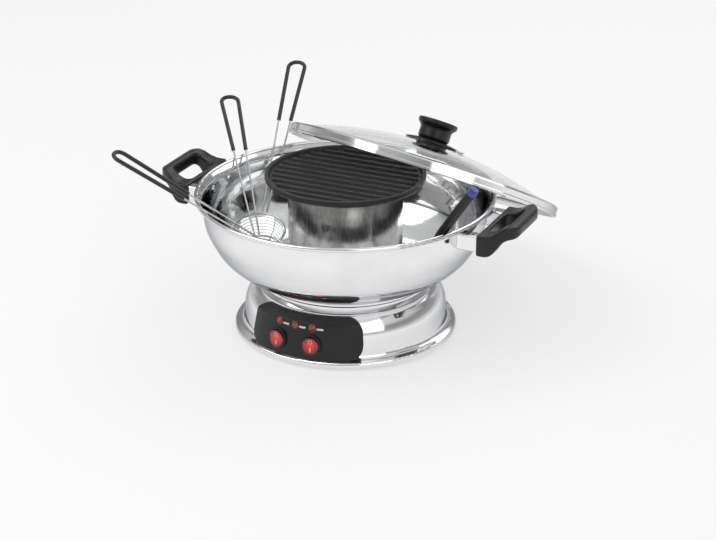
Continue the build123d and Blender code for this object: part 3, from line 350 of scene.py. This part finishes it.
def middle(node):
    low, high = (Vector(corner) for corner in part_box(node))
    return (low + high) / 2


def lamp_middles():
    """The middles of the three lamps, one in each third of their node's box."""
    low, high = (Vector(corner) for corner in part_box("signal_lamps"))
    points = [vertex.co for vertex in nodes["signal_lamps"].data.vertices]
    third = (high.x - low.x) / 3
    spots = []
    for step in range(3):
        group = [co for co in points if low.x + step * third <= co.x <= low.x + (step + 1) * third]
        spots.append(sum(group, Vector()) / len(group))
    return spots


finishes = {
    "polished_steel": polished_steel(), "plain_steel": plain_steel(), "aluminium": aluminium(),
    "heater_sheath": heater_sheath(), "foot_rubber": foot_rubber(), "black_plastic": black_plastic(),
    "red_switch": lit_red("red_switch", dark=(0.16, 0.003, 0.003), light=(0.6, 0.015, 0.012), glow=0.3,
                          spots=[middle("left_rocker"), middle("right_rocker")], reach=0.0094),
    "red_lamp": lit_red("red_lamp", dark=(0.1, 0.003, 0.003), light=(0.35, 0.01, 0.008), glow=0.12,
                        spots=lamp_middles(), reach=0.0045),
    "insulator": insulator(), "contact_brass": contact_brass(), "wire_sleeve": wire_sleeve(),
    "circuit_board": circuit_board(), "grill_coating": grill_coating(), "lid_glass": clear_glass(),
    "basket_wire": basket_wire(), "handle_vinyl": handle_vinyl(), "fork_mark": fork_mark(),
}
print_white = white_print()
mark_paint = mark_print()

for row in frame["record"]["subparts"]:
    mesh = nodes[row["node"]].data
    mesh.materials.clear()
    mesh.materials.append(finishes[row["material_slot"]])
nodes["chimney"].data.materials[0] = brushed_chimney()


# Mesh helpers

slanted = Vector((0.31, 0.17, 1.0))  # a direction that none of the wires runs along


def add_piece(name, build, material, body, node=None):
    mesh = bpy.data.meshes.new(name)
    work = bmesh.new()
    build(work)
    bmesh.ops.recalc_face_normals(work, faces=work.faces)
    work.to_mesh(mesh)
    work.free()
    for face in mesh.polygons:
        face.use_smooth = True
    mesh.materials.append(material)
    piece = bpy.data.objects.new(name, mesh)
    scene.collection.objects.link(piece)
    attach(piece, body)
    if node:
        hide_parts(node)


def circle(place, radius, height, count):
    turns = (math.tau * k / count for k in range(count))
    return [place @ Vector((radius * math.cos(a), radius * math.sin(a), height)) for a in turns]


def tube(work, points, radius, sides, closed):
    """A round wire along the points."""
    count = len(points)
    rings = []
    for i, point in enumerate(points):
        before = points[i - 1] if closed or i else point
        after = points[(i + 1) % count] if closed or i + 1 < count else point
        way = (after - before).normalized()
        side = way.cross(slanted).normalized()
        other = way.cross(side)
        ring = []
        for k in range(sides):
            turn = math.tau * k / sides
            ring.append(work.verts.new(point + radius * (math.cos(turn) * side + math.sin(turn) * other)))
        rings.append(ring)
    for i in range(count if closed else count - 1):
        near, far = rings[i], rings[(i + 1) % count]
        for k in range(sides):
            work.faces.new((near[k], near[(k + 1) % sides], far[(k + 1) % sides], far[k]))
    if not closed:
        work.faces.new(rings[0][::-1])
        work.faces.new(rings[-1])


# Wire cloth of the baskets, where the solids have a thin bowl-shaped sheet

basket_axis_r = 0.1
basket_height = 0.101785
basket_angles = (282.0, 229.0, 191.0)
basket_headings = (189.0, 126.0, 105.0)
basket_lean = 18.0
cloth_r = 0.0287

hoops, hoop_wire, hoop_points, hoop_sides = 12, 0.0004, 64, 6
top_hoop_dip, hoop_dips, hoop_spacing_power = 6.0, 78.0, 0.92
staves, stave_wire, stave_steps, stave_sides = 3, 0.0005, 48, 8
stave_nest = 0.0002  # each stave passes this much inside the one before, where they cross at the bottom


def basket_frame(index):
    """A basket's own frame: X towards the handle in the plane of its leaning ring, Z out of that plane."""
    angle, heading = math.radians(basket_angles[index]), math.radians(basket_headings[index])
    lean = math.radians(basket_lean)
    away = Vector((math.cos(heading), math.sin(heading), 0))
    along = away * math.cos(lean) + Vector((0, 0, math.sin(lean)))
    up = Vector((0, 0, math.cos(lean))) - away * math.sin(lean)
    place = Matrix((along, up.cross(along), up)).transposed().to_4x4()
    outward = Vector((math.cos(angle), math.sin(angle), 0))
    place.translation = basket_axis_r * outward + Vector((0, 0, basket_height))
    return place


def wire_cloth(index):
    """Hoops that lie along the ring's plane, inside bent staves."""
    place = basket_frame(index)
    stave_r = cloth_r - stave_wire
    hoop_r = stave_r - hoop_wire

    def build(work):
        for i in range(hoops):
            dip = math.radians(top_hoop_dip + hoop_dips * (i / (hoops - 1)) ** hoop_spacing_power)
            points = circle(place, hoop_r * math.cos(dip), -hoop_r * math.sin(dip), hoop_points)
            tube(work, points, hoop_wire, hoop_sides, closed=True)
        for k in range(staves):
            a = math.pi * (k + 0.5) / staves
            r = stave_r - stave_nest * k
            points = []
            for step in range(stave_steps + 1):
                dip = math.pi * step / stave_steps
                points.append(place @ Vector((r * math.cos(dip) * math.cos(a),
                                              r * math.cos(dip) * math.sin(a), -r * math.sin(dip))))
            tube(work, points, stave_wire, stave_sides, closed=False)
    return build


for k in (1, 2, 3):
    add_piece(f"basket_{k}_wires", wire_cloth(k - 1), finishes["basket_wire"], f"basket_{k}",
              f"basket_{k}_mesh")


# Marks on the panel and the switches

control_turn = -3.6
face_low_r, face_low_z = 0.1186, 0.0096
face_high_r, face_high_z = 0.1106, 0.047
print_thick = 0.00014
bar_corner_share = 0.3

lamp_angles = (-10.3, 0.0, 10.3)
dash_turn, dash_z = 4.35, 0.0423
dash_width, dash_height = 0.0078, 0.0021

rocker_angles = {"left": -10.2, "right": 10.2}
rocker_z, rocker_r, rocker_tilt = 0.0245, 0.0093, 8.0
rocker_edge, rocker_valley, rocker_pivot = 0.0044, 0.0028, 0.0012
mark_share = 0.48  # of the way from a rocker's middle to its edge
bar_width, bar_height = 0.0012, 0.0048
ring_r, ring_wire, ring_points, ring_sides = 0.0021, 0.00035, 32, 6


def face_place(angle, height):
    """A place on the panel's sloping face: X along it, Y up it and Z out of it."""
    share = (height - face_low_z) / (face_high_z - face_low_z)
    r = face_low_r + share * (face_high_r - face_low_r)
    lean = math.atan2(face_low_r - face_high_r, face_high_z - face_low_z)
    turn = math.radians(angle + control_turn)
    out = Vector((math.sin(turn), -math.cos(turn), 0))
    along = Vector((math.cos(turn), math.sin(turn), 0))
    up = Vector((0, 0, 1)) * math.cos(lean) - out * math.sin(lean)
    place = Matrix((along, up, along.cross(up))).transposed().to_4x4()
    place.translation = out * r + Vector((0, 0, height))
    return place


def flat_bar(place, width, height):
    """A thin rounded bar of print."""
    def build(work):
        corner = min(width, height) * bar_corner_share
        ring = []
        for sx, sy, start in ((1, 1, 0), (-1, 1, 90), (-1, -1, 180), (1, -1, 270)):
            for step in range(4):
                a = math.radians(start + 30 * step)
                ring.append((sx * (width / 2 - corner) + corner * math.cos(a),
                             sy * (height / 2 - corner) + corner * math.sin(a)))
        top = [work.verts.new(place @ Vector((x, y, print_thick))) for x, y in ring]
        foot = [work.verts.new(place @ Vector((x, y, -print_thick))) for x, y in ring]
        work.faces.new(top)
        work.faces.new(foot[::-1])
        for i in range(len(ring)):
            j = (i + 1) % len(ring)
            work.faces.new((foot[i], foot[j], top[j], top[i]))
    return build


def open_ring(place):
    """A plain round mark."""
    def build(work):
        tube(work, circle(place, ring_r, 0, ring_points), ring_wire, ring_sides, closed=True)
    return build


for k, angle in enumerate(lamp_angles):
    dash = face_place(angle + dash_turn, dash_z)
    add_piece(f"panel_dash_{k + 1}", flat_bar(dash, dash_width, dash_height), print_white, "base")

# Each half of a rocker rises from the valley in its middle to its edge, and a mark lies on each half.
half_rise = math.atan2(rocker_edge - rocker_valley, rocker_r)
mark_y = rocker_r * mark_share
mark_z = rocker_valley + (rocker_edge - rocker_valley) * mark_share
for name, angle in rocker_angles.items():
    tilt = Matrix.Rotation(math.radians(rocker_tilt), 4, "X")
    face = face_place(angle, rocker_z) @ Matrix.Translation((0, 0, rocker_pivot))
    face = face @ tilt @ Matrix.Translation((0, 0, -rocker_pivot))
    for mark, side in (("bar", -1), ("ring", 1)):
        spot = face @ Matrix.Translation((0, side * mark_y, mark_z))
        spot = spot @ Matrix.Rotation(side * half_rise, 4, "X")
        shape = flat_bar(spot, bar_width, bar_height) if mark == "bar" else open_ring(spot)
        add_piece(f"{name}_rocker_{mark}", shape, mark_paint, f"{name}_rocker")


# Softer edges on the moulded grips

grip_voxel = 0.0011
grip_smoothing, grip_passes = 0.5, 22

for name in ("left_handle_grip", "right_handle_grip"):
    skin = nodes[name].modifiers.new("skin", "REMESH")
    skin.mode = "VOXEL"
    skin.voxel_size = grip_voxel
    skin.use_smooth_shade = True
    soft = nodes[name].modifiers.new("soft", "SMOOTH")
    soft.factor = grip_smoothing
    soft.iterations = grip_passes


# Floor, light and camera

floor_half = 40.0
floor_colour = (0.92, 0.92, 0.92, 1)
floor_glow = 0.55  # share of plain white that the camera, metal and glass see in the floor

# Height of the direction (its Z) and the grey there: light at the horizon and high up, a greyer band between.
studio_greys = ((0.0, 0.97), (0.08, 0.92), (0.2, 0.5), (0.42, 0.36), (0.58, 0.8), (0.8, 0.97), (1.0, 0.85))
studio_strength = 0.75

camera_turn, camera_rise, camera_far = 25.0, 23.5, 2.3
camera_aim_z, camera_aim_right, camera_aim_up = 0.09, 0.0137, -0.0232
camera_sensor, camera_lens, camera_clip = 36.0, 104.8, 50.0  # sensor and lens in millimetres


def floor():
    """A pale floor that keeps the shadow and shows brighter to the camera and in reflections."""
    mesh = bpy.data.meshes.new("floor")
    corners = [(x * floor_half, y * floor_half, 0) for x, y in ((-1, -1), (1, -1), (1, 1), (-1, 1))]
    mesh.from_pydata(corners, [], [(0, 1, 2, 3)])
    piece = bpy.data.objects.new("floor", mesh)
    scene.collection.objects.link(piece)
    material = bpy.data.materials.new("floor")
    material.use_nodes = True
    tree = material.node_tree
    tree.nodes.clear()
    diffuse = tree.nodes.new("ShaderNodeBsdfDiffuse")
    diffuse.inputs["Color"].default_value = floor_colour
    glow = tree.nodes.new("ShaderNodeEmission")
    glow.inputs["Color"].default_value = (1, 1, 1, 1)
    mix = tree.nodes.new("ShaderNodeMixShader")
    path = tree.nodes.new("ShaderNodeLightPath").outputs
    seen = math_node(tree, "MAXIMUM", path["Is Camera Ray"],
                     math_node(tree, "MAXIMUM", path["Is Glossy Ray"], path["Is Transmission Ray"]))
    tree.links.new(math_node(tree, "MULTIPLY", seen, floor_glow), mix.inputs[0])
    tree.links.new(diffuse.outputs[0], mix.inputs[1])
    tree.links.new(glow.outputs[0], mix.inputs[2])
    out = tree.nodes.new("ShaderNodeOutputMaterial")
    tree.links.new(mix.outputs[0], out.inputs["Surface"])
    mesh.materials.append(material)


def world():
    sky = bpy.data.worlds.new("studio")
    scene.world = sky
    sky.use_nodes = True
    tree = sky.node_tree
    tree.nodes.clear()
    place = tree.nodes.new("ShaderNodeTexCoord").outputs["Generated"]
    split = tree.nodes.new("ShaderNodeSeparateXYZ")
    tree.links.new(place, split.inputs[0])
    ramp = tree.nodes.new("ShaderNodeValToRGB")
    for i, (spot, level) in enumerate(studio_greys):
        element = ramp.color_ramp.elements[i] if i < 2 else ramp.color_ramp.elements.new(spot)
        element.position = spot
        element.color = (level, level, level, 1)
    tree.links.new(split.outputs[2], ramp.inputs["Fac"])
    studio = tree.nodes.new("ShaderNodeBackground")
    tree.links.new(ramp.outputs["Color"], studio.inputs["Color"])
    studio.inputs["Strength"].default_value = studio_strength
    out = tree.nodes.new("ShaderNodeOutputWorld")
    tree.links.new(studio.outputs[0], out.inputs["Surface"])


def soft_light(name, place, aim, size, power):
    lamp = bpy.data.lights.new(name, "AREA")
    lamp.shape = "RECTANGLE"
    lamp.size, lamp.size_y = size
    lamp.energy = power
    holder = bpy.data.objects.new(name, lamp)
    holder.location = place
    holder.rotation_euler = (Vector(aim) - Vector(place)).to_track_quat("-Z", "Y").to_euler()
    scene.collection.objects.link(holder)


def camera():
    """The photograph's view: a long lens from the front right, above the rim."""
    turn, rise = math.radians(camera_turn), math.radians(camera_rise)
    back = Vector((math.sin(turn) * math.cos(rise), -math.cos(turn) * math.cos(rise), math.sin(rise)))
    right = Vector((math.cos(turn), math.sin(turn), 0))
    up = back.cross(right)
    aim = Vector((0, 0, camera_aim_z)) + camera_aim_right * right + camera_aim_up * up
    lens = bpy.data.cameras.new("camera")
    lens.sensor_width = camera_sensor
    lens.lens = camera_lens
    lens.clip_end = camera_clip
    holder = bpy.data.objects.new("camera", lens)
    place = Matrix((right, up, back)).transposed().to_4x4()
    place.translation = aim + camera_far * back
    holder.matrix_world = place
    scene.collection.objects.link(holder)
    scene.camera = holder


floor()
world()
soft_light("key_light", place=(-1.2, -1.0, 1.9), aim=(0, 0, 0.1), size=(2.2, 1.6), power=20.0)
soft_light("fill_light", place=(1.5, -1.2, 1.3), aim=(0, 0, 0.1), size=(1.4, 1.8), power=8.0)
soft_light("back_light", place=(0.3, 1.6, 1.6), aim=(0, 0, 0.15), size=(2.2, 1.2), power=9.0)
camera()
scene.view_settings.view_transform = "Standard"
